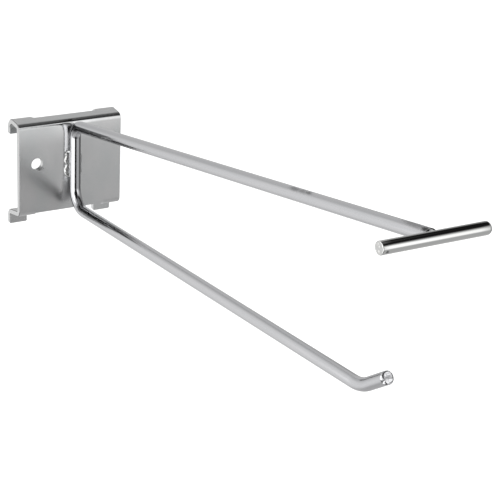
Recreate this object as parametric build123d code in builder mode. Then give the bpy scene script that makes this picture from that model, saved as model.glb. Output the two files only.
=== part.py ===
from build123d import *
import os
from math import cos, radians, sin, tan

# Display hook for a slotted panel, in millimetres. A folded sheet backplate hangs on the panel,
# one bent wire forms both arms and the leg welded to the plate, and a short cross bar at the end
# of the upper arm takes a price label. +X is the right hand side seen from the front, the arms
# reach forward along -Y, and +Z is up. The origin is in the middle of the plate's width, on its
# back face, level with the inside corner of the top bend.

# Sheet of the backplate
sheet_thickness = 2.7
plate_width = 58.2
plate_drop = 45.9               # inside corner of the top bend to the plate's bottom edge
bend_inside_radius = 0.5
arris_chamfer = 0.3             # the cut edges are broken by tumbling
end_corner_radius = 0.8         # corners of the lips and the tabs

# Roll along the top, and the two hooks that it ends in
panel_gap = 8.6                 # back of the plate to the inner face of the hooks' lips
roll_rise_angle = 8.0           # the roll climbs a little towards the back
roll_inside_radius = 2.9
lip_drop = 5.2                  # inside corner of the top bend to the end of the lips
hook_width = 10.7
flange_depth = 4.5              # back of the plate to the edge of the roll between the hooks
window_corner_radius = 2.0

# Tabs at the two lower corners, stepped back and down behind the panel
tab_width = 9.6
tab_gap = 9.5                   # back of the plate to the front face of the tabs
tab_fall_angle = 9.0            # the step falls a little towards the back
tab_step_drop = 44.6            # inside corner of the top bend to the inside corner of the step
tab_drop = 8.5                  # plate's bottom edge to the end of the tabs
tab_bend_radius = 1.2           # inside radius of the lower bend

# Fixing hole, left of the leg
hole_diameter = 6.3
hole_from_edge = 10.1           # plate's left edge to the hole's centre
hole_drop = 19.4                # inside corner of the top bend to the hole's centre

# Wire of the arms and the leg
wire_diameter = 5.8
leg_offset = 1.2                # the leg stands this far right of the plate's middle
upper_arm_drop = 0.2            # inside corner of the top bend to the arm's axis at the leg
lower_arm_drop = 44.3           # the same, to the lower arm's axis at the leg
upper_arm_reach = 300.5         # front of the plate to the cross bar's axis
upper_arm_rise = 7.85           # degrees above level
lower_arm_reach = 262.8         # front of the plate to the start of the raised tip
lower_arm_rise = 2.0
tip_length = 19.8
tip_rise = 33.5
top_bend_radius = 7.5           # bend radii are to the wire's axis
bottom_bend_radius = 10.5
tip_bend_radius = 20.0
tip_edge_radius = 0.8

# Cross bar at the end of the upper arm
bar_diameter = 5.4
bar_length = 50.0
bar_shift = 0.4                 # the bar is welded on this far left of the arm
bar_end_chamfer = 0.5

# Welds
plate_weld_length = 14.5
plate_weld_drop = 14.0          # inside corner of the top bend to the upper end of the beads
plate_weld_spread = 2.0         # how far a bead spreads past the wire's side
plate_weld_climb = 28.0         # degrees below level, where a bead ends on the wire
plate_weld_root = 1.1           # the line where leg and plate touch, to the root of a bead
plate_weld_bulge = 0.3
plate_weld_end_chamfer = 1.0
bar_weld_diameter = 4.8
bar_weld_gap = 0.4              # end of the arm to the back of the bar

# Places that follow from the sizes above
plate_front = -sheet_thickness
leg_y = plate_front - wire_diameter / 2
lip_back = panel_gap + sheet_thickness
tab_back = tab_gap + sheet_thickness
roll_rise = tan(radians(roll_rise_angle)) * panel_gap
tab_fall = tan(radians(tab_fall_angle)) * tab_back
step_start = tab_step_drop - 2 * bend_inside_radius
tab_end = plate_drop + tab_drop
hook_inner_x = plate_width / 2 - hook_width
tab_inner_x = plate_width / 2 - tab_width


# Backplate: one sheet, blanked and then folded four times, with its cut edges broken. The
# whole fold is drawn as one section, from the tabs up the face and round the roll to the lips,
# along the back of the sheet. The two windows that set the hooks and tabs free are cut after it.
with BuildPart() as backplate:
    with BuildSketch(Plane.YZ.offset(-plate_width / 2)):
        with BuildLine():
            FilletPolyline(
                (tab_back, -tab_end),
                (tab_back, -tab_step_drop - tab_fall),
                (0, -tab_step_drop),
                (0, 0),
                (panel_gap, roll_rise),
                (panel_gap, -lip_drop),
                radius=[
                    tab_bend_radius + sheet_thickness,
                    bend_inside_radius,
                    bend_inside_radius,
                    roll_inside_radius,
                ],
            )
            offset(amount=sheet_thickness, side=Side.LEFT)
        make_face()
    extrude(amount=plate_width)

    # Outer corners of the lips and the tabs, then both sides of the sheet
    sheet_ends = backplate.faces().filter_by(Axis.Z)
    fillet(sheet_ends.edges().filter_by(Axis.Y), end_corner_radius)
    outer_sides = backplate.faces().filter_by(Axis.X)
    chamfer(outer_sides.edges(), arris_chamfer)

    # Window between the hooks, which leaves only a short flange of the roll
    with BuildSketch(Plane.XY.offset(-2 * lip_drop)):
        with Locations((0, flange_depth + lip_back)):
            RectangleRounded(2 * hook_inner_x, 2 * lip_back, window_corner_radius)
    extrude(amount=3 * lip_drop + roll_rise + sheet_thickness, mode=Mode.SUBTRACT)

    # Window between the tabs, with the face running down through it to the plate's edge
    with BuildSketch(Plane.XY.offset(-step_start)):
        Rectangle(2 * tab_inner_x, 4 * tab_back)
    extrude(amount=-tab_end, mode=Mode.SUBTRACT)
    with BuildSketch(Plane.XZ.offset(-plate_front)):
        with Locations((0, -(step_start + plate_drop) / 2)):
            Rectangle(2 * tab_inner_x, plate_drop - step_start)
    extrude(amount=-sheet_thickness)

    # Inner corners of the lips and the tabs, cut round
    for side in (-1, 1):
        for inner_x, end_z, sheet_y in (
            (hook_inner_x, -lip_drop, panel_gap),
            (tab_inner_x, -tab_end, tab_gap),
        ):
            corner_x = inner_x + end_corner_radius
            corner_z = end_z + end_corner_radius
            with BuildSketch(Plane.XZ.offset(-sheet_y)):
                with Locations((side * inner_x, end_z)):
                    Rectangle(2 * end_corner_radius, 2 * end_corner_radius)
                with Locations((side * corner_x, corner_z)):
                    Circle(end_corner_radius, mode=Mode.SUBTRACT)
            extrude(amount=-sheet_thickness, mode=Mode.SUBTRACT)

    # Fixing hole
    with Locations(Plane.XZ.offset(-plate_front)):
        with Locations((hole_from_edge - plate_width / 2, -hole_drop)):
            Hole(hole_diameter / 2, depth=sheet_thickness)
backplate.part.label = "backplate"


# Hook wire: one length of round wire with three bends, all in one upright plane. The upper arm
# stops just short of the cross bar, and a spot of weld fills the rest.
def arm_point(run, drop, rise_angle):
    return (plate_front - run, -drop + (run - wire_diameter / 2) * tan(radians(rise_angle)))


bar_axis = arm_point(upper_arm_reach, upper_arm_drop, upper_arm_rise)
arm_end_gap = bar_diameter / 2 + bar_weld_gap
arm_end = (
    bar_axis[0] + arm_end_gap * cos(radians(upper_arm_rise)),
    bar_axis[1] - arm_end_gap * sin(radians(upper_arm_rise)),
)
tip_corner = arm_point(lower_arm_reach, lower_arm_drop, lower_arm_rise)
tip_end = (
    tip_corner[0] - tip_length * cos(radians(tip_rise)),
    tip_corner[1] + tip_length * sin(radians(tip_rise)),
)
with BuildPart() as hook_wire:
    with BuildLine(Plane.YZ.offset(leg_offset)) as wire_path:
        FilletPolyline(
            arm_end,
            (leg_y, -upper_arm_drop),
            (leg_y, -lower_arm_drop),
            tip_corner,
            tip_end,
            radius=[top_bend_radius, bottom_bend_radius, tip_bend_radius],
        )
    with BuildSketch(Plane(origin=wire_path.line @ 0, z_dir=wire_path.line % 0)):
        Circle(wire_diameter / 2)
    sweep()
    fillet(hook_wire.faces().filter_by(GeomType.PLANE).sort_by(Axis.Z)[0].edges(), tip_edge_radius)
hook_wire.part.label = "hook_wire"


# Cross bar: a short piece of straight wire, the edges of its ends broken
with BuildPart() as cross_bar:
    with BuildSketch(Plane.YZ.offset(leg_offset - bar_shift - bar_length / 2)):
        with Locations(bar_axis):
            Circle(bar_diameter / 2)
    extrude(amount=bar_length)
    chamfer(cross_bar.edges().filter_by(GeomType.CIRCLE), bar_end_chamfer)
cross_bar.part.label = "cross_bar"


# Welds of the leg: a bead in the groove on each side, between the round of the wire and the plate.
# The section is drawn for the right side and mirrored for the left.
def plate_bead(side):
    wire_radius = wire_diameter / 2
    toe_x = wire_radius + plate_weld_spread
    climb_x = wire_radius * cos(radians(plate_weld_climb))
    climb_y = leg_y + wire_radius * sin(radians(plate_weld_climb))
    with BuildPart() as bead:
        with BuildSketch(Plane.XY.offset(-plate_weld_drop - plate_weld_length)):
            with BuildLine():
                toe = (leg_offset + side * toe_x, plate_front)
                climb = (leg_offset + side * climb_x, climb_y)
                SagittaArc(toe, climb, side * plate_weld_bulge)
                Polyline(climb, (leg_offset, leg_y), (leg_offset, plate_front), toe)
            make_face()
            with Locations((leg_offset, leg_y)):
                Circle(wire_radius, mode=Mode.SUBTRACT)
            with Locations((leg_offset, leg_y)):
                Rectangle(2 * plate_weld_root, wire_diameter, mode=Mode.SUBTRACT)
        extrude(amount=plate_weld_length)
        ends = bead.faces().filter_by(Axis.Z)
        crown = bead.faces().sort_by(Axis.Y)[0]
        chamfer([e for e in crown.edges() if e in ends.edges()], plate_weld_end_chamfer)
    return bead.part


plate_weld_left = plate_bead(-1)
plate_weld_left.label = "plate_weld_left"
plate_weld_right = plate_bead(1)
plate_weld_right.label = "plate_weld_right"


# Weld of the bar: the spot of fused metal between the end of the arm and the back of the bar
with BuildPart() as bar_weld:
    with BuildSketch(Plane(origin=wire_path.line @ 0, z_dir=wire_path.line % 0)):
        Circle(bar_weld_diameter / 2)
    extrude(amount=-arm_end_gap)
    with BuildSketch(Plane.YZ.offset(leg_offset - bar_length / 2)):
        with Locations(bar_axis):
            Circle(bar_diameter / 2)
    extrude(amount=bar_length, mode=Mode.SUBTRACT)
bar_weld.part.label = "bar_weld"


os.makedirs("parts", exist_ok=True)
export_step(backplate.part, "parts/backplate.step")
export_step(hook_wire.part, "parts/hook_wire.step")
export_step(cross_bar.part, "parts/cross_bar.step")
export_step(plate_weld_left, "parts/plate_weld_left.step")
export_step(plate_weld_right, "parts/plate_weld_right.step")
export_step(bar_weld.part, "parts/bar_weld.step")
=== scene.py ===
import math

import bmesh
import bpy
from mathutils import Matrix, Vector, noise


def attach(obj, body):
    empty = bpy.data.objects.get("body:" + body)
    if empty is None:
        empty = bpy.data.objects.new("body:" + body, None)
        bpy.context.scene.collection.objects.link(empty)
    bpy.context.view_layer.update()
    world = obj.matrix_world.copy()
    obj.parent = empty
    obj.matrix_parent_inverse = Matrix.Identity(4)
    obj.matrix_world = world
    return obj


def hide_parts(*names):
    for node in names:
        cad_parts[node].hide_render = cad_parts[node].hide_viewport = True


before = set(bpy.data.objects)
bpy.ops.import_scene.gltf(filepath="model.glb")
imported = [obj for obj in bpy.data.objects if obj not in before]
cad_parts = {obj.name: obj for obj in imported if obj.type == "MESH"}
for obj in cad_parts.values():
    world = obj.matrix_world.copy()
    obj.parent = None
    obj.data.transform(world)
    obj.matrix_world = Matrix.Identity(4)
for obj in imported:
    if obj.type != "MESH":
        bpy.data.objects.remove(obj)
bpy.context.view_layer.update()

mm = 0.001


# Backplate: mild steel sheet, blanked and folded, then tumbled and plated with bright zinc. The
# plating follows the rolled face, so it is half a mirror with faint clouds, and the face eases
# into the top bend and bows a little on the left, where the weld pulled it.
def feed(tree, socket, value):
    """Link another node's output into a socket, or set the socket where the value is plain."""
    if hasattr(value, "links"):
        tree.links.new(value, socket)
    else:
        socket.default_value = value


def math_node(tree, operation, *values, clamp=False):
    node = tree.nodes.new("ShaderNodeMath")
    node.operation = operation
    node.use_clamp = clamp
    for socket, value in zip(node.inputs, values):
        feed(tree, socket, value)
    return node.outputs[0]


def vector_node(tree, operation, *values):
    node = tree.nodes.new("ShaderNodeVectorMath")
    node.operation = operation
    for socket, value in zip(node.inputs, values):
        feed(tree, socket, value)
    return node


def noise_node(tree, place, scale, detail, roughness=0.5):
    node = tree.nodes.new("ShaderNodeTexNoise")
    feed(tree, node.inputs["Vector"], place)
    feed(tree, node.inputs["Scale"], scale)
    node.inputs["Detail"].default_value = detail
    node.inputs["Roughness"].default_value = roughness
    return node.outputs["Fac"]


def soft_step(tree, value, none_at, full_at):
    """Mask that is 0 at none_at and 1 at full_at, with a smooth step between them."""
    node = tree.nodes.new("ShaderNodeMapRange")
    node.interpolation_type = "SMOOTHSTEP"
    feed(tree, node.inputs["Value"], value)
    feed(tree, node.inputs["From Min"], none_at)
    feed(tree, node.inputs["From Max"], full_at)
    return node.outputs["Result"]


def laid_over(tree, under, over, share):
    """The under colour with a share of the over colour laid on it."""
    node = tree.nodes.new("ShaderNodeMix")
    node.data_type = "RGBA"
    feed(tree, node.inputs["Factor"], share)
    feed(tree, node.inputs["A"], under)
    feed(tree, node.inputs["B"], over)
    return node.outputs["Result"]


def new_group(name, inputs, outputs):
    """Shader node group with named sockets, what it is given and what it results in."""
    tree = bpy.data.node_groups.new(name, "ShaderNodeTree")
    for socket, kind in inputs:
        tree.interface.new_socket(socket, in_out="INPUT", socket_type=kind)
    for socket, kind in outputs:
        tree.interface.new_socket(socket, in_out="OUTPUT", socket_type=kind)
    given = tree.nodes.new("NodeGroupInput").outputs
    result = tree.nodes.new("NodeGroupOutput").inputs
    return tree, given, result


cloud_detail = 3.0
cloud_roughness = 0.55
grain_detail = 2.0
tint_contrast = 4.0


def make_plating_group():
    """Colour, roughness and fine relief of a zinc plated surface, from a stretched position."""
    tree, given, result = new_group(
        "zinc_plating",
        (
            ("Vector", "NodeSocketVector"),
            ("Colour", "NodeSocketColor"),
            ("Tint", "NodeSocketColor"),
            ("Cloud", "NodeSocketFloat"),
            ("Cloud Scale", "NodeSocketFloat"),
            ("Roughness", "NodeSocketFloat"),
            ("Haze", "NodeSocketFloat"),
            ("Grain Scale", "NodeSocketFloat"),
        ),
        (
            ("Colour", "NodeSocketColor"),
            ("Roughness", "NodeSocketFloat"),
            ("Height", "NodeSocketFloat"),
        ),
    )
    place = given["Vector"]
    cloud = noise_node(tree, place, given["Cloud Scale"], cloud_detail, cloud_roughness)
    grain = noise_node(tree, place, given["Grain Scale"], grain_detail)

    # The clouds darken and lighten the colour by the share that Cloud gives, and turn it a little
    # towards the tint of the passivation
    centred = math_node(tree, "SUBTRACT", cloud, 0.5)
    tinted = math_node(tree, "MULTIPLY_ADD", centred, -tint_contrast, 0.5, clamp=True)
    toned = laid_over(tree, given["Colour"], given["Tint"], tinted)
    shaded = vector_node(tree, "SCALE", toned)
    lightness = math_node(tree, "MULTIPLY_ADD", centred, given["Cloud"], 1.0)
    tree.links.new(lightness, shaded.inputs["Scale"])
    tree.links.new(shaded.outputs[0], result["Colour"])

    # Haze: the clouds and the grain both dull the mirror a little
    around = math_node(tree, "SUBTRACT", math_node(tree, "ADD", cloud, grain), 1.0)
    rough = math_node(
        tree, "MULTIPLY_ADD", around, given["Haze"], given["Roughness"], clamp=True
    )
    tree.links.new(rough, result["Roughness"])
    tree.links.new(grain, result["Height"])
    return tree


# Colour of the dark marks: soil on some of them, painted shade and painted shadow on others
soil_and_shade_colour = (0.10, 0.10, 0.10, 1.0)
mark_dulling = 0.25
mark_ragged_scale = 1400.0
mark_ragged_detail = 3.0
mark_ragged_roughness = 0.6
mark_raggedness = 1.1
mark_outer_edge = 1.45
mark_inner_edge = 0.75


def make_mark_group():
    """Mask of one small dark mark with a ragged edge, at a place and with a size per axis; it
    serves for soil and for painted shade.
    """
    tree, given, result = new_group(
        "soil_and_shade_mark",
        (
            ("Vector", "NodeSocketVector"),
            ("Place", "NodeSocketVector"),
            ("Size", "NodeSocketVector"),
        ),
        (("Mask", "NodeSocketFloat"),),
    )
    offset = vector_node(tree, "SUBTRACT", given["Vector"], given["Place"])
    scaled = vector_node(tree, "DIVIDE", offset.outputs[0], given["Size"])
    away = vector_node(tree, "LENGTH", scaled.outputs[0]).outputs["Value"]
    ragged = noise_node(
        tree, given["Vector"], mark_ragged_scale, mark_ragged_detail, mark_ragged_roughness
    )
    reach = math_node(tree, "MULTIPLY_ADD", ragged, mark_raggedness, away)
    mask = soft_step(tree, reach, mark_outer_edge, mark_inner_edge)
    tree.links.new(mask, result["Mask"])
    return tree


zinc_plating = make_plating_group()
soil_and_shade_mark = make_mark_group()
relief_height = 0.02 * mm


def plated_steel(name, colour, tint, stretch, relief, values, marks=(), along="Object"):
    """Zinc plated steel. The position is stretched per axis, or read along a drawn wire."""
    material = bpy.data.materials.new(name)
    material.use_nodes = True
    tree = material.node_tree
    nodes, links = tree.nodes, tree.links
    shader = nodes["Principled BSDF"]
    shader.inputs["Metallic"].default_value = 1.0
    place = nodes.new("ShaderNodeTexCoord")
    turn = nodes.new("ShaderNodeMapping")
    turn.inputs["Scale"].default_value = stretch
    if along == "Object":
        links.new(place.outputs["Object"], turn.inputs["Vector"])
    else:
        drawn = nodes.new("ShaderNodeAttribute")
        drawn.attribute_name = along
        links.new(drawn.outputs["Vector"], turn.inputs["Vector"])
    plating = nodes.new("ShaderNodeGroup")
    plating.node_tree = zinc_plating
    plating.name = "plating"
    plating.inputs["Colour"].default_value = (*colour, 1.0)
    plating.inputs["Tint"].default_value = (*tint, 1.0)
    for key, value in values.items():
        plating.inputs[key].default_value = value
    links.new(turn.outputs["Vector"], plating.inputs["Vector"])
    skin, rough = plating.outputs["Colour"], plating.outputs["Roughness"]
    # Dark marks laid over the colour: some are soil, others are painted shade and painted shadow
    for spot, size, share in marks:
        mark = nodes.new("ShaderNodeGroup")
        mark.node_tree = soil_and_shade_mark
        mark.inputs["Place"].default_value = [value * mm for value in spot]
        mark.inputs["Size"].default_value = [value * mm for value in size]
        links.new(place.outputs["Object"], mark.inputs["Vector"])
        soil_and_shade_share = math_node(tree, "MULTIPLY", mark.outputs["Mask"], share)
        skin = laid_over(tree, skin, soil_and_shade_colour, soil_and_shade_share)
        rough = math_node(tree, "MULTIPLY_ADD", mark.outputs["Mask"], mark_dulling, rough)
    links.new(skin, shader.inputs["Base Color"])
    links.new(rough, shader.inputs["Roughness"])
    bump = nodes.new("ShaderNodeBump")
    bump.name = "relief"
    bump.inputs["Strength"].default_value = relief
    bump.inputs["Distance"].default_value = relief_height
    links.new(plating.outputs["Height"], bump.inputs["Height"])
    links.new(bump.outputs["Normal"], shader.inputs["Normal"])
    return material


def dress(node, material):
    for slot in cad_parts[node].material_slots:
        slot.material = material


# Each mark has its place and its size in mm, and the share of the dark mark colour in its colour,
# which stands for soil on some marks and for painted shade or painted shadow on others
# Painted shadow: a dark crescent on the lower wall of the hole
painted_shadow_in_hole = ((-17.2, -1.3, -22.1), (3.2, 3.2, 1.9), 0.85)
# Painted shade: the plate darker in the groove beside the leg, below the weld
painted_shade_below_weld = ((-1.8, -2.7, -35.0), (4.6, 3.0, 9.0), 0.30)
plate_zinc = plated_steel(
    "plate_zinc_bright",
    colour=(0.62, 0.62, 0.622),
    tint=(0.60, 0.612, 0.615),
    stretch=(1.0, 1.0, 0.6),
    relief=0.02,
    values={
        "Cloud": 0.10, "Cloud Scale": 70.0, "Roughness": 0.25,
        "Haze": 0.05, "Grain Scale": 900.0,
    },
    marks=(painted_shadow_in_hole, painted_shade_below_weld),
)

# The sheet's own form, as a second relief below the fine one: the face starts to turn into the
# top bend some way below it and the bend itself starts slowly, the left half is bowed from top
# to bottom, and the weld's heat has left a shallow dip in the front along the left of the leg
bend_ease_start = -10.0 * mm
bend_ease_end = -0.5 * mm
bend_ease_angle = math.radians(2.1)
slow_bend_height = 1.6 * mm
slow_bend_angle = math.radians(9.0)
bow_middle = -24.0 * mm
bow_radius = 850.0 * mm
bow_fade = 14.0 * mm
leg_x = 1.2 * mm
weld_dip_width = 9.0 * mm
weld_dip_angle = math.radians(8.0)
sheet_middle = -1.35 * mm

# The face is smoother close to the leg, above the foot of the weld, where tumbling wore it least
smooth_reach = 16.0 * mm
smooth_full_reach = 5.6 * mm
smooth_bottom = -30.0 * mm
smooth_top = -16.0 * mm
smooth_gain = 0.10


def leaning_curve(tree, along, start, length, angle):
    """Height of a curve that starts level and has turned by the angle after the length."""
    share = math_node(tree, "SUBTRACT", along, start)
    share = math_node(tree, "DIVIDE", share, length, clamp=True)
    square = math_node(tree, "MULTIPLY", share, share)
    return math_node(tree, "MULTIPLY", square, 0.5 * math.tan(angle) * length)


def sheet_form(material):
    tree = material.node_tree
    place = tree.nodes.new("ShaderNodeTexCoord")
    axes = tree.nodes.new("ShaderNodeSeparateXYZ")
    tree.links.new(place.outputs["Object"], axes.inputs[0])
    across, depth, height = axes.outputs

    ease_length = bend_ease_end - bend_ease_start
    ease = leaning_curve(tree, height, bend_ease_start, ease_length, -bend_ease_angle)
    slow_bend = leaning_curve(tree, height, bend_ease_end, slow_bend_height, slow_bend_angle)
    off_middle = math_node(tree, "SUBTRACT", height, bow_middle)
    bow = math_node(tree, "MULTIPLY", off_middle, off_middle)
    bow = math_node(tree, "MULTIPLY", bow, -0.5 / bow_radius)
    left_half = soft_step(tree, across, leg_x + bow_fade, leg_x - bow_fade)
    dip = leaning_curve(tree, across, leg_x - weld_dip_width, weld_dip_width, -weld_dip_angle)
    front = math_node(tree, "LESS_THAN", depth, sheet_middle)
    form = math_node(tree, "ADD", ease, slow_bend)
    form = math_node(tree, "MULTIPLY_ADD", bow, left_half, form)
    form = math_node(tree, "MULTIPLY_ADD", dip, front, form)
    form_bump = tree.nodes.new("ShaderNodeBump")
    form_bump.name = "sheet_form"
    form_bump.inputs["Strength"].default_value = 1.0
    form_bump.inputs["Distance"].default_value = 1.0
    tree.links.new(form, form_bump.inputs["Height"])
    tree.links.new(form_bump.outputs["Normal"], tree.nodes["relief"].inputs["Normal"])

    away = math_node(tree, "ABSOLUTE", math_node(tree, "SUBTRACT", across, leg_x))
    close = soft_step(tree, away, smooth_reach, smooth_full_reach)
    high = soft_step(tree, height, smooth_bottom, smooth_top)
    sheltered = math_node(tree, "MULTIPLY", close, high)
    shader = tree.nodes["Principled BSDF"]
    rough = shader.inputs["Roughness"].links[0].from_socket
    rough = math_node(tree, "MULTIPLY_ADD", sheltered, -smooth_gain, rough)
    tree.links.new(rough, shader.inputs["Roughness"])


# How far a surface faces sideways: a cut edge faces along X, and its left arris is at 45 degrees
cut_edge_from = 0.80
cut_edge_full = 0.92
left_arris_facing = -0.707
arris_reach = 0.22
arris_full_reach = 0.05
# Cut edges are coloured lighter, and a painted shadow darkens the left arris
lighter_edge_colour = (0.74, 0.745, 0.745, 1.0)
arris_shadow_colour = (0.33, 0.33, 0.335, 1.0)


def lighter_edges_arris_shadow(material):
    """Cut edges at the sheet's sides and in the hole, coloured lighter, with a painted shadow
    along the left arris.
    """
    tree = material.node_tree
    shader = tree.nodes["Principled BSDF"]
    place = tree.nodes.new("ShaderNodeTexCoord")
    facing = tree.nodes.new("ShaderNodeSeparateXYZ")
    tree.links.new(place.outputs["Normal"], facing.inputs[0])
    cut = tree.nodes.new("ShaderNodeMapRange")
    cut.inputs["From Min"].default_value = cut_edge_from
    cut.inputs["From Max"].default_value = cut_edge_full
    tree.links.new(math_node(tree, "ABSOLUTE", facing.outputs["X"]), cut.inputs["Value"])
    skin = shader.inputs["Base Color"].links[0].from_socket
    skin = laid_over(tree, skin, lighter_edge_colour, cut.outputs["Result"])
    off_arris = math_node(tree, "SUBTRACT", facing.outputs["X"], left_arris_facing)
    off_arris = math_node(tree, "ABSOLUTE", off_arris)
    arris = soft_step(tree, off_arris, arris_reach, arris_full_reach)
    # Painted shadow along the left arris
    skin = laid_over(tree, skin, arris_shadow_colour, arris)
    tree.links.new(skin, shader.inputs["Base Color"])


sheet_form(plate_zinc)
lighter_edges_arris_shadow(plate_zinc)
dress("backplate", plate_zinc)


# Hook wire: cold drawn round steel wire, cut to length and bent three times in one upright plane,
# welded to the plate and plated with it. Drawing leaves fine lines along it, the tip's end is
# sheared and tumbled, with a torn face, and handling has left a few dull marks on the upper arm.
# By the bar the top of the arm is coloured darker, and a painted shadow fills the gap at its end.
wire_radius = 2.9 * mm
leg_y = -5.6 * mm
arm_end = Vector((leg_x, -300.129 * mm, 40.402 * mm))
top_corner = Vector((leg_x, leg_y, -0.2 * mm))
bottom_corner = Vector((leg_x, leg_y, -44.3 * mm))
tip_corner = Vector((leg_x, -265.5 * mm, -35.224 * mm))
tip_end = Vector((leg_x, -282.011 * mm, -24.296 * mm))
wire_bends = (7.5 * mm, 10.5 * mm, 20.0 * mm)
wire_sides = 72
ring_pitch = 6.0 * mm
bend_steps = 28
tip_run_steps = 6


def bent_wire_path(corners, radii):
    """Places and directions of the rings along straight runs joined by arcs."""
    path = []
    start = corners[0]
    for before, corner, after, radius in zip(corners, corners[1:], corners[2:], radii):
        incoming = (corner - before).normalized()
        outgoing = (after - corner).normalized()
        angle = incoming.angle(outgoing)
        setback = radius * math.tan(angle / 2)
        axis = incoming.cross(outgoing).normalized()
        arc_start = corner - incoming * setback
        centre = arc_start + axis.cross(incoming) * radius
        runs = max(2, int((arc_start - start).length / ring_pitch))
        for step in range(runs):
            path.append((start.lerp(arc_start, step / runs), incoming))
        for step in range(bend_steps):
            turn = Matrix.Rotation(angle * step / bend_steps, 3, axis)
            path.append((centre + turn @ (arc_start - centre), turn @ incoming))
        start = corner + outgoing * setback
    outgoing = (corners[-1] - start).normalized()
    for step in range(tip_run_steps + 1):
        path.append((start.lerp(corners[-1], step / tip_run_steps), outgoing))
    return path


def round_start(sides, radius):
    """New shape with a first ring. Each vertex keeps its place in the section as "drawn"."""
    shape = bmesh.new()
    drawn = shape.verts.layers.float_vector.new("drawn")
    verts = bmesh.ops.create_circle(shape, segments=sides, radius=radius)["verts"]
    for vert in verts:
        vert[drawn] = Vector((0.0, vert.co.x, vert.co.y))
    return shape, drawn, verts, list(shape.edges)


def grown_ring(shape, ring):
    """Extrude a closed ring of edges once, and return its new vertices and edges."""
    grown = bmesh.ops.extrude_edge_only(shape, edges=ring)["geom"]
    verts = [part for part in grown if isinstance(part, bmesh.types.BMVert)]
    kept = set(verts)
    edges = [
        part for part in grown
        if isinstance(part, bmesh.types.BMEdge) and all(vert in kept for vert in part.verts)
    ]
    return verts, edges


def drawn_ring(shape, ring, layer, travelled):
    """The next ring of a drawn wire, which also keeps how far along the wire it is."""
    verts, edges = grown_ring(shape, ring)
    for vert in verts:
        vert[layer].x = travelled
    return verts, edges


def object_piece(name, shape, material):
    for face in shape.faces:
        face.smooth = True
    bmesh.ops.recalc_face_normals(shape, faces=shape.faces)
    mesh = bpy.data.meshes.new(name)
    shape.to_mesh(mesh)
    shape.free()
    mesh.materials.append(material)
    piece = bpy.data.objects.new(name, mesh)
    bpy.context.scene.collection.objects.link(piece)
    return piece


# Sheared end of the tip: the tumbled rim is widest on the left, the face is torn over its upper
# two thirds and broken off at a slant over the lower third. Places on the face are in radii, and
# the plain numbers in the noise places only pick another stretch of noise.
rim_width = 0.65 * mm
rim_extra = 0.50 * mm
rim_extra_at = math.radians(140.0)
rim_wander = 0.12 * mm
rim_wander_rate = 3.0
burr_flat = 0.55 * mm
burr_flat_at = math.radians(198.0)
burr_narrowness = 6
rim_steps = 6
face_steps = 12
torn_depth = 0.05 * mm
coarse_tear_rate = 3.1
fine_tear_rate = 8.0
fine_tear_share = 0.5
face_top = 0.8
break_line = -0.25
break_wander = 0.12
break_wander_rate = 2.0
break_slant = math.tan(math.radians(14.0))
face_slant = math.tan(math.radians(6.0))
face_curve = math.tan(math.radians(7.0))
quarter_turn = math.radians(90.0)


def section_angle(section):
    return math.atan2(section.z, section.y)


def flattened(angle):
    """1 in the middle of the short stretch low on the left, where the burr was beaten flat."""
    return max(0.0, math.cos(angle - burr_flat_at)) ** burr_narrowness


def rim_at(angle):
    lean = max(0.0, math.cos(angle - rim_extra_at))
    across, up = rim_wander_rate * math.cos(angle), rim_wander_rate * math.sin(angle)
    ragged = rim_wander * noise.noise(Vector((across, up, 4.7)))
    return rim_width + rim_extra * lean ** 2 + burr_flat * flattened(angle) + ragged


def face_drop(up):
    """The shear left the face leaning back below its top edge, a little less towards the break."""
    fall = face_top - break_line
    down = min(max(0.0, face_top - up), fall)
    return -wire_radius * (face_slant * down - 0.5 * face_curve * down * down / fall)


def end_relief(across, up):
    """How far the end face lies back at a place in radii, across to the right and up."""
    coarse, fine = coarse_tear_rate, fine_tear_rate
    torn = noise.noise(Vector((across * coarse, up * coarse, 1.3)))
    torn += fine_tear_share * noise.noise(Vector((across * fine, up * fine, 7.9)))
    height = torn_depth * torn + face_drop(up)
    wander = break_wander * noise.noise(Vector((across * break_wander_rate, 0.0, 3.3)))
    below = break_line - up + wander
    if below > 0.0:
        height -= below * break_slant * wire_radius
    return min(0.0, height - torn_depth)


def ring_place(centre, forward, section, scale=1.0):
    side = Vector((1.0, 0.0, 0.0))
    up = forward.cross(side)
    return centre + (side * section.y + up * section.z) * scale


shape, drawn, ring_verts, ring = round_start(wire_sides, wire_radius)
for edge in ring:
    edge.smooth = False
bmesh.ops.contextual_create(shape, geom=ring_verts)
path = bent_wire_path((arm_end, top_corner, bottom_corner, tip_corner, tip_end), wire_bends)
travelled = 0.0
previous = path[0][0]
for number, (centre, forward) in enumerate(path):
    if number:
        travelled += (centre - previous).length
        ring_verts, ring = drawn_ring(shape, ring, drawn, travelled)
    for vert in ring_verts:
        vert.co = ring_place(centre, forward, vert[drawn])
    previous = centre
tip_forward = path[-1][1]

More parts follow.
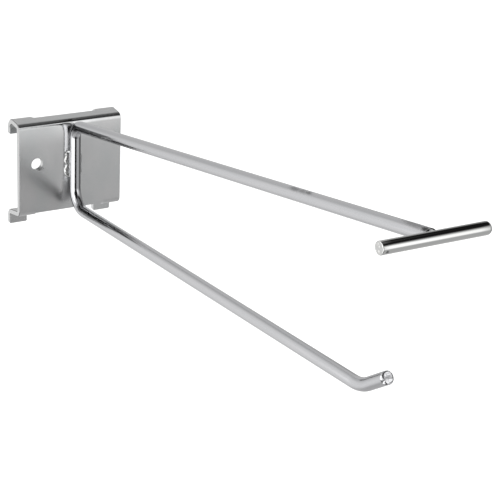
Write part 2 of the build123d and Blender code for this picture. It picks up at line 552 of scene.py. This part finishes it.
# The last ring goes back to where the rim starts, then the rim and the face are drawn in
for vert in ring_verts:
    vert.co -= tip_forward * rim_at(section_angle(vert[drawn]))
for step in range(1, rim_steps + 1):
    turn = quarter_turn * step / rim_steps
    ring_verts, ring = drawn_ring(shape, ring, drawn, travelled)
    for vert in ring_verts:
        section = vert[drawn]
        angle = section_angle(section)
        rim = rim_at(angle)
        power = 1.0 + flattened(angle)
        reach = 1.0 - rim * (1.0 - max(0.0, math.cos(turn)) ** power) / wire_radius
        vert.co = ring_place(tip_end, tip_forward, section, reach)
        vert.co -= tip_forward * rim * (1.0 - math.sin(turn) ** power)
        across, up = section.y / wire_radius * reach, section.z / wire_radius * reach
        if step == rim_steps:
            vert.co += tip_forward * end_relief(across, up)
        else:
            vert.co += tip_forward * face_drop(up) * math.sin(turn)
for step in range(1, face_steps):
    ring_verts, ring = drawn_ring(shape, ring, drawn, travelled)
    for vert in ring_verts:
        section = vert[drawn]
        rim = rim_at(section_angle(section))
        reach = (1.0 - rim / wire_radius) * (1.0 - step / face_steps)
        across, up = section.y / wire_radius * reach, section.z / wire_radius * reach
        vert.co = ring_place(tip_end, tip_forward, section, reach)
        vert.co += tip_forward * end_relief(across, up)
bmesh.ops.contextual_create(shape, geom=ring_verts)

# Dull marks on top of the upper arm: three together beyond its middle. By the bar the top is
# coloured darker along the arm's last stretch, and a painted shadow fills the gap at the arm's end
middle_smudges = (
    ((-0.1, -212.0, 30.9), (2.0, 6.4, 1.7), 0.50),
    ((0.0, -218.0, 31.7), (2.0, 5.4, 1.6), 0.40),
    ((0.1, -222.6, 32.35), (1.6, 3.6, 1.3), 0.60),
)
darkening_and_shadow_by_bar = (
    # Darker along the top over the last stretch before the bar
    ((0.4, -291.0, 41.9), (2.6, 19.0, 2.0), 0.40),
    # Painted shadow in the gap between the arm's end and the bar
    ((-0.2, -298.4, 42.65), (2.4, 3.6, 1.4), 0.95),
)
wire_zinc = plated_steel(
    "wire_zinc_bright",
    colour=(0.637, 0.636, 0.650),
    tint=(0.622, 0.628, 0.645),
    stretch=(0.03, 1.0, 1.0),
    relief=0.08,
    values={
        "Cloud": 0.08, "Cloud Scale": 700.0, "Roughness": 0.16,
        "Haze": 0.05, "Grain Scale": 5000.0,
    },
    marks=middle_smudges + darkening_and_shadow_by_bar,
    along="drawn",
)
hook_wire = object_piece("hook_wire_drawn", shape, wire_zinc)
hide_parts("hook_wire")
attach(hook_wire, "root")


# Welds of the leg: a short bead in the groove on each side, laid by hand, so its ripples and its
# width are uneven. It is plated over with the rest, so its crests shine.
weld_zinc = plated_steel(
    "weld_zinc_rough",
    colour=(0.80, 0.80, 0.79),
    tint=(0.74, 0.755, 0.76),
    stretch=(1.0, 1.0, 1.0),
    relief=0.3,
    values={
        "Cloud": 0.25, "Cloud Scale": 500.0, "Roughness": 0.36,
        "Haze": 0.08, "Grain Scale": 3000.0,
    },
)
plate_front = -2.7 * mm
bead_top = -14.0 * mm
bead_length = 14.5 * mm
bead_spread = 4.9 * mm
bead_root = 1.2 * mm
bead_root_height = 0.3 * mm
bead_climb = math.radians(28.0)
bead_rows = 90
bead_columns = 14
bead_end_share = 1.0 / 7.0
bead_end_width = 0.72
bead_width_wander = 0.16
bead_wander_length = 2.6 * mm
bead_bulge = 0.45 * mm
bead_bulge_lean = 0.8
bead_ripple = 0.20 * mm
bead_pitch = 2.35 * mm
bead_crescent = 0.9 * mm
first_ripple_at = 1.1
lump_height = 0.15 * mm
lump_length = 1.9 * mm
small_lump_length = 0.6 * mm
small_lump_share = 0.4
lumps_across = 2.0
small_lumps_across = 5.0


def weld_bead(name, side, seed):
    toe = Vector((side * bead_spread, plate_front, 0.0))
    climb_x = side * wire_radius * math.cos(bead_climb)
    climb = Vector((climb_x, leg_y + wire_radius * math.sin(bead_climb), 0.0))
    root = Vector((side * bead_root, plate_front, 0.0))
    outward = Vector((side, -1.0, 0.0)).normalized()
    shape = bmesh.new()
    number = shape.verts.layers.int.new("number")
    first = bmesh.ops.create_circle(shape, segments=bead_columns + 2, radius=mm)["verts"]
    ring = list(shape.edges)
    for index, vert in enumerate(first):
        vert[number] = index
    rows = [first]
    for _ in range(bead_rows):
        verts, ring = grown_ring(shape, ring)
        rows.append(sorted(verts, key=lambda vert: vert[number]))
    for row, verts in enumerate(rows):
        down = row / bead_rows
        depth = down * bead_length
        from_end = min(1.0, min(down, 1.0 - down) / bead_end_share)
        fade = math.sin(quarter_turn * from_end)
        wander = noise.noise(Vector((seed, depth / bead_wander_length, 0.5)))
        spread = 1.0 - bead_width_wander * wander
        spread *= bead_end_width + (1.0 - bead_end_width) * fade
        for vert in verts:
            # Known fault: the two root points are in crossed order, hidden under the wire
            if vert[number] == bead_columns:
                place = root.copy()
            elif vert[number] > bead_columns:
                place = root + Vector((0.0, -bead_root_height, 0.0))
            else:
                share = vert[number] / (bead_columns - 1)
                place = Vector((toe.x * spread, toe.y, 0.0)).lerp(climb, share)
                arch = math.sin(math.pi * share ** bead_bulge_lean)
                crescent = depth + bead_crescent * arch
                ripple = abs(math.sin(math.pi * crescent / bead_pitch + first_ripple_at)) - 0.5
                large = Vector((seed, depth / lump_length, share * lumps_across))
                small = Vector((
                    seed + 9.0, depth / small_lump_length, share * small_lumps_across
                ))
                lump = noise.noise(large) + small_lump_share * noise.noise(small)
                height = bead_bulge + bead_ripple * ripple + lump_height * lump
                place += outward * arch * height * fade
            vert.co = (leg_x + place.x, min(place.y, plate_front), bead_top - depth)
    for verts in (rows[0], rows[-1]):
        bmesh.ops.contextual_create(shape, geom=verts)
    bead = object_piece(name, shape, weld_zinc)
    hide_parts(name.replace("_laid", ""))
    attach(bead, "root")


weld_bead("plate_weld_left_laid", side=-1.0, seed=2.3)
weld_bead("plate_weld_right_laid", side=1.0, seed=6.1)


# Cross bar: a straight piece of the same kind of wire, polished before plating. The left end was
# sheared square, with a crisp rim, and the right end is tumbled round.
bar_radius = 2.697 * mm
bar_centre = Vector((0.8 * mm, -303.2 * mm, 40.833 * mm))
bar_half = 25.0 * mm
bar_sides = 72
left_rim = 0.28 * mm
right_rim = 1.6 * mm
left_face_steps = 8
left_rim_steps = 4
length_steps = 11
right_rim_steps = 8
right_face_steps = 5
shear_mark_depth = 0.05 * mm
shear_mark_size = 0.9 * mm
shear_mark_reach = 0.88
shear_mark_lift = 0.4
left_face = -bar_half + 0.06 * mm
near_left_face = left_face + 0.01 * mm

# Rings of the bar from left to right, each with its place along the bar and its share of the
# radius: left face, crisp rim, straight length, round rim and right face
left_face_reach = (bar_radius - left_rim) / bar_radius
right_face_reach = (bar_radius - right_rim) / bar_radius
straight_length = 2 * bar_half - left_rim - right_rim
bar_rings = []
for step in range(1, left_face_steps + 1):
    bar_rings.append((left_face, left_face_reach * step / left_face_steps))
for step in range(1, left_rim_steps + 1):
    turn = quarter_turn * step / left_rim_steps
    bar_rings.append((
        left_face + left_rim * (1.0 - math.cos(turn)),
        1.0 - left_rim * (1.0 - math.sin(turn)) / bar_radius,
    ))
for step in range(1, length_steps + 1):
    bar_rings.append((-bar_half + left_rim + straight_length * step / length_steps, 1.0))
for step in range(1, right_rim_steps + 1):
    turn = quarter_turn * step / right_rim_steps
    bar_rings.append((
        bar_half - right_rim + right_rim * math.sin(turn),
        1.0 - right_rim * (1.0 - math.cos(turn)) / bar_radius,
    ))
for step in range(1, right_face_steps):
    bar_rings.append((bar_half, right_face_reach * (1.0 - step / right_face_steps)))

shape, drawn, ring_verts, ring = round_start(bar_sides, bar_radius)
for number, (along, reach) in enumerate(bar_rings):
    if number:
        ring_verts, ring = drawn_ring(shape, ring, drawn, along)
    for vert in ring_verts:
        section = vert[drawn]
        vert.co = bar_centre + Vector((along, section.y * reach, section.z * reach))
    if number in (0, len(bar_rings) - 1):
        bmesh.ops.contextual_create(shape, geom=ring_verts)

# Shear marks of the left end: a few shallow steps over the face
for vert in shape.verts:
    reach = Vector((vert.co.y - bar_centre.y, vert.co.z - bar_centre.z)).length / bar_radius
    if vert.co.x < bar_centre.x + near_left_face and reach < shear_mark_reach:
        torn = noise.noise(Vector((vert.co.y, vert.co.z, 0.0)) / shear_mark_size)
        vert.co.x += shear_mark_depth * (torn + shear_mark_lift)

# A small darker spot low on the front of the bar, near its left end
dark_spot_at_left_end = ((-22.25, -305.7, 39.9), (1.0, 1.2, 0.9), 0.9)
bar_zinc = plated_steel(
    "bar_zinc_polished",
    colour=(0.665, 0.665, 0.652),
    tint=(0.65, 0.655, 0.65),
    stretch=(0.04, 1.0, 1.0),
    relief=0.05,
    values={
        "Cloud": 0.05, "Cloud Scale": 600.0, "Roughness": 0.09,
        "Haze": 0.04, "Grain Scale": 5000.0,
    },
    marks=(dark_spot_at_left_end,),
    along="drawn",
)
cross_bar = object_piece("cross_bar_polished", shape, bar_zinc)
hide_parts("cross_bar")
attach(cross_bar, "root")


# Weld of the bar: the arm's end was pressed hot against the bar's back, and a short plug of fused
# metal between them holds the bar. It is plated over like the rest.
dress("bar_weld", weld_zinc)


# Studio: a pale floor well below the hook, and round both a light tent that only reflections show.
# The tent's cloth is grey, with soft lights in it left and front right, paler cloth at the back, a
# dark table in front, a dark ceiling and a dark gap where the camera looks in.
def stage_object(name, shape):
    mesh = bpy.data.meshes.new(name)
    shape.to_mesh(mesh)
    shape.free()
    piece = bpy.data.objects.new(name, mesh)
    bpy.context.scene.collection.objects.link(piece)
    return piece


def seen_as_background(tree):
    """1 for camera, glossy and transmission rays, 0 for the rays that carry plain light."""
    rays = tree.nodes.new("ShaderNodeLightPath").outputs
    seen = math_node(tree, "MAXIMUM", rays["Is Camera Ray"], rays["Is Glossy Ray"])
    return math_node(tree, "MAXIMUM", seen, rays["Is Transmission Ray"])


white = (1.0, 1.0, 1.0, 1.0)
floor_level = -0.40
floor_half = 12.0
floor_glow = 0.6
shape = bmesh.new()
bmesh.ops.create_grid(
    shape,
    x_segments=1,
    y_segments=1,
    size=floor_half,
    matrix=Matrix.Translation((0, 0, floor_level)),
)
floor = stage_object("floor", shape)
floor.visible_glossy = False
floor_paint = bpy.data.materials.new("pale_floor")
floor_paint.use_nodes = True
floor_tree = floor_paint.node_tree
floor_shader = floor_tree.nodes["Principled BSDF"]
floor_shader.inputs["Base Color"].default_value = (0.82, 0.82, 0.82, 1.0)
floor_shader.inputs["Roughness"].default_value = 0.9
floor_shader.inputs["Emission Color"].default_value = white
glow = math_node(floor_tree, "MULTIPLY", seen_as_background(floor_tree), floor_glow)
floor_tree.links.new(glow, floor_shader.inputs["Emission Strength"])
floor.data.materials.append(floor_paint)


def make_panel_group():
    """Mask of one soft-edged panel in the tent, placed by its angles in degrees."""
    tree, given, result = new_group(
        "soft_panel",
        (
            ("Azimuth", "NodeSocketFloat"),
            ("Elevation", "NodeSocketFloat"),
            ("Centre Azimuth", "NodeSocketFloat"),
            ("Centre Elevation", "NodeSocketFloat"),
            ("Half Width", "NodeSocketFloat"),
            ("Half Height", "NodeSocketFloat"),
            ("Soft Edge", "NodeSocketFloat"),
        ),
        (("Mask", "NodeSocketFloat"),),
    )

    def falloff(distance, half):
        outer = math_node(tree, "ADD", given[half], given["Soft Edge"])
        inner = math_node(tree, "SUBTRACT", given[half], given["Soft Edge"])
        return soft_step(tree, distance, outer, inner)

    turn = math_node(tree, "SUBTRACT", given["Azimuth"], given["Centre Azimuth"])
    turn = math_node(tree, "ABSOLUTE", math_node(tree, "WRAP", turn, 180.0, -180.0))
    lift = math_node(tree, "SUBTRACT", given["Elevation"], given["Centre Elevation"])
    lift = math_node(tree, "ABSOLUTE", lift)
    both = math_node(tree, "MULTIPLY", falloff(turn, "Half Width"), falloff(lift, "Half Height"))
    tree.links.new(both, result["Mask"])
    return tree


tent_centre = (0.0, -0.15, -0.02)
tent_radius = 1.5
tent_grey = 0.62
# Azimuth runs from the front (0) to the left (90), back (180) and right (-90), in degrees. Each
# panel has its azimuth, elevation, half width, half height, soft edge and brightness.
tent_panels = (
    ("low_back", 180.0, -34.0, 60.0, 20.0, 12.0, 0.74),
    ("floor_shade", 0.0, -90.0, 180.0, 34.0, 16.0, 0.52),
    ("right_wall", -16.0, 14.0, 28.0, 22.0, 9.0, 0.72),
    ("front_floor", -45.0, -42.0, 40.0, 28.0, 14.0, 0.54),
    ("front_table", 12.0, -39.0, 36.0, 15.0, 7.0, 0.12),
    ("behind", -147.0, -20.0, 14.0, 14.0, 10.0, 0.40),
    ("left_back", 138.0, 4.0, 20.0, 50.0, 12.0, 0.90),
    ("left_light", 86.0, 4.0, 46.0, 28.0, 4.0, 2.0),
    ("right_light", -30.0, 6.0, 9.0, 17.0, 8.0, 1.6),
    ("right_gap", -91.0, -18.0, 30.0, 14.0, 8.0, 0.14),
    ("right_shade", -103.0, 16.0, 35.0, 26.0, 10.0, 0.30),
    ("camera_gap", 19.0, -10.0, 18.0, 44.0, 4.0, 0.01),
    ("above_camera", 21.0, 33.0, 37.0, 31.0, 7.0, 0.0),
    ("front_ceiling", -75.0, 52.0, 57.0, 18.0, 10.0, 0.01),
    ("ceiling", 0.0, 90.0, 180.0, 30.0, 8.0, 0.14),
)
shape = bmesh.new()
bmesh.ops.create_uvsphere(
    shape,
    u_segments=64,
    v_segments=32,
    radius=tent_radius,
    matrix=Matrix.Translation(tent_centre),
)
bmesh.ops.reverse_faces(shape, faces=shape.faces)
tent = stage_object("light_tent", shape)
tent.visible_camera = False
tent.visible_diffuse = False
tent.visible_shadow = False
tent_cloth = bpy.data.materials.new("tent_cloth")
tent_cloth.use_nodes = True
tent_tree = tent_cloth.node_tree
tent_tree.nodes.remove(tent_tree.nodes["Principled BSDF"])
place = tent_tree.nodes.new("ShaderNodeTexCoord")
outward = vector_node(tent_tree, "SUBTRACT", place.outputs["Object"], tent_centre)
unit = vector_node(tent_tree, "NORMALIZE", outward.outputs[0])
axes = tent_tree.nodes.new("ShaderNodeSeparateXYZ")
tent_tree.links.new(unit.outputs[0], axes.inputs[0])
to_left = math_node(tent_tree, "MULTIPLY", axes.outputs["X"], -1.0)
to_front = math_node(tent_tree, "MULTIPLY", axes.outputs["Y"], -1.0)
azimuth = math_node(tent_tree, "DEGREES", math_node(tent_tree, "ARCTAN2", to_left, to_front))
elevation = math_node(tent_tree, "DEGREES", math_node(tent_tree, "ARCSINE", axes.outputs["Z"]))
panel_group = make_panel_group()
brightness = tent_grey
for name, *angles, panel_brightness in tent_panels:
    panel = tent_tree.nodes.new("ShaderNodeGroup")
    panel.node_tree = panel_group
    panel.name = name
    for socket, value in zip(panel.inputs, (azimuth, elevation, *angles)):
        feed(tent_tree, socket, value)
    blend = tent_tree.nodes.new("ShaderNodeMix")
    blend.data_type = "FLOAT"
    feed(tent_tree, blend.inputs["Factor"], panel.outputs["Mask"])
    feed(tent_tree, blend.inputs["A"], brightness)
    feed(tent_tree, blend.inputs["B"], panel_brightness)
    brightness = blend.outputs["Result"]
cloth_light = tent_tree.nodes.new("ShaderNodeEmission")
tent_tree.links.new(brightness, cloth_light.inputs["Strength"])
tent_tree.links.new(cloth_light.outputs[0], tent_tree.nodes["Material Output"].inputs["Surface"])
tent_cloth.cycles.emission_sampling = "NONE"
tent.data.materials.append(tent_cloth)

sky_light = 0.6
sky_seen = 1.0
world = bpy.data.worlds.new("studio")
world.use_nodes = True
bpy.context.scene.world = world
sky_tree = world.node_tree
sky = sky_tree.nodes["Background"]
sky.inputs["Color"].default_value = white
sky_strength = sky_tree.nodes.new("ShaderNodeMapRange")
sky_strength.inputs["To Min"].default_value = sky_light
sky_strength.inputs["To Max"].default_value = sky_seen
sky_tree.links.new(seen_as_background(sky_tree), sky_strength.inputs["Value"])
sky_tree.links.new(sky_strength.outputs["Result"], sky.inputs["Strength"])

top_light = bpy.data.lights.new("top_light", "AREA")
top_light.shape = "RECTANGLE"
top_light.size = 1.6
top_light.size_y = 1.6
top_light.energy = 12.0
top_lamp = bpy.data.objects.new("top_light", top_light)
top_lamp.location = (-0.3, -0.3, 1.1)
top_lamp.visible_glossy = False
bpy.context.scene.collection.objects.link(top_lamp)


# Camera: a short telephoto from the front left and a little above, tilted by the small roll that
# the photo has.
camera_azimuth = math.radians(-32.467)
camera_elevation = math.radians(21.122)
camera_roll = math.radians(2.668)
camera_place = Vector((-0.34950, -0.72973, 0.24439))
back = Vector((
    math.sin(camera_azimuth) * math.cos(camera_elevation),
    -math.cos(camera_azimuth) * math.cos(camera_elevation),
    math.sin(camera_elevation),
))
level_right = Vector((0, 0, 1)).cross(back).normalized()
level_up = back.cross(level_right)
right = math.cos(camera_roll) * level_right + math.sin(camera_roll) * level_up
up = back.cross(right)
camera_data = bpy.data.cameras.new("camera")
camera_data.sensor_width = 36.0
camera_data.lens = 116.56
camera_data.clip_start = 0.01
camera_data.clip_end = 50.0
camera = bpy.data.objects.new("camera", camera_data)
camera_turn = Matrix((right, up, back)).transposed().to_4x4()
camera.matrix_world = Matrix.Translation(camera_place) @ camera_turn
bpy.context.scene.collection.objects.link(camera)
bpy.context.scene.camera = camera

bpy.context.scene.view_settings.view_transform = "Standard"
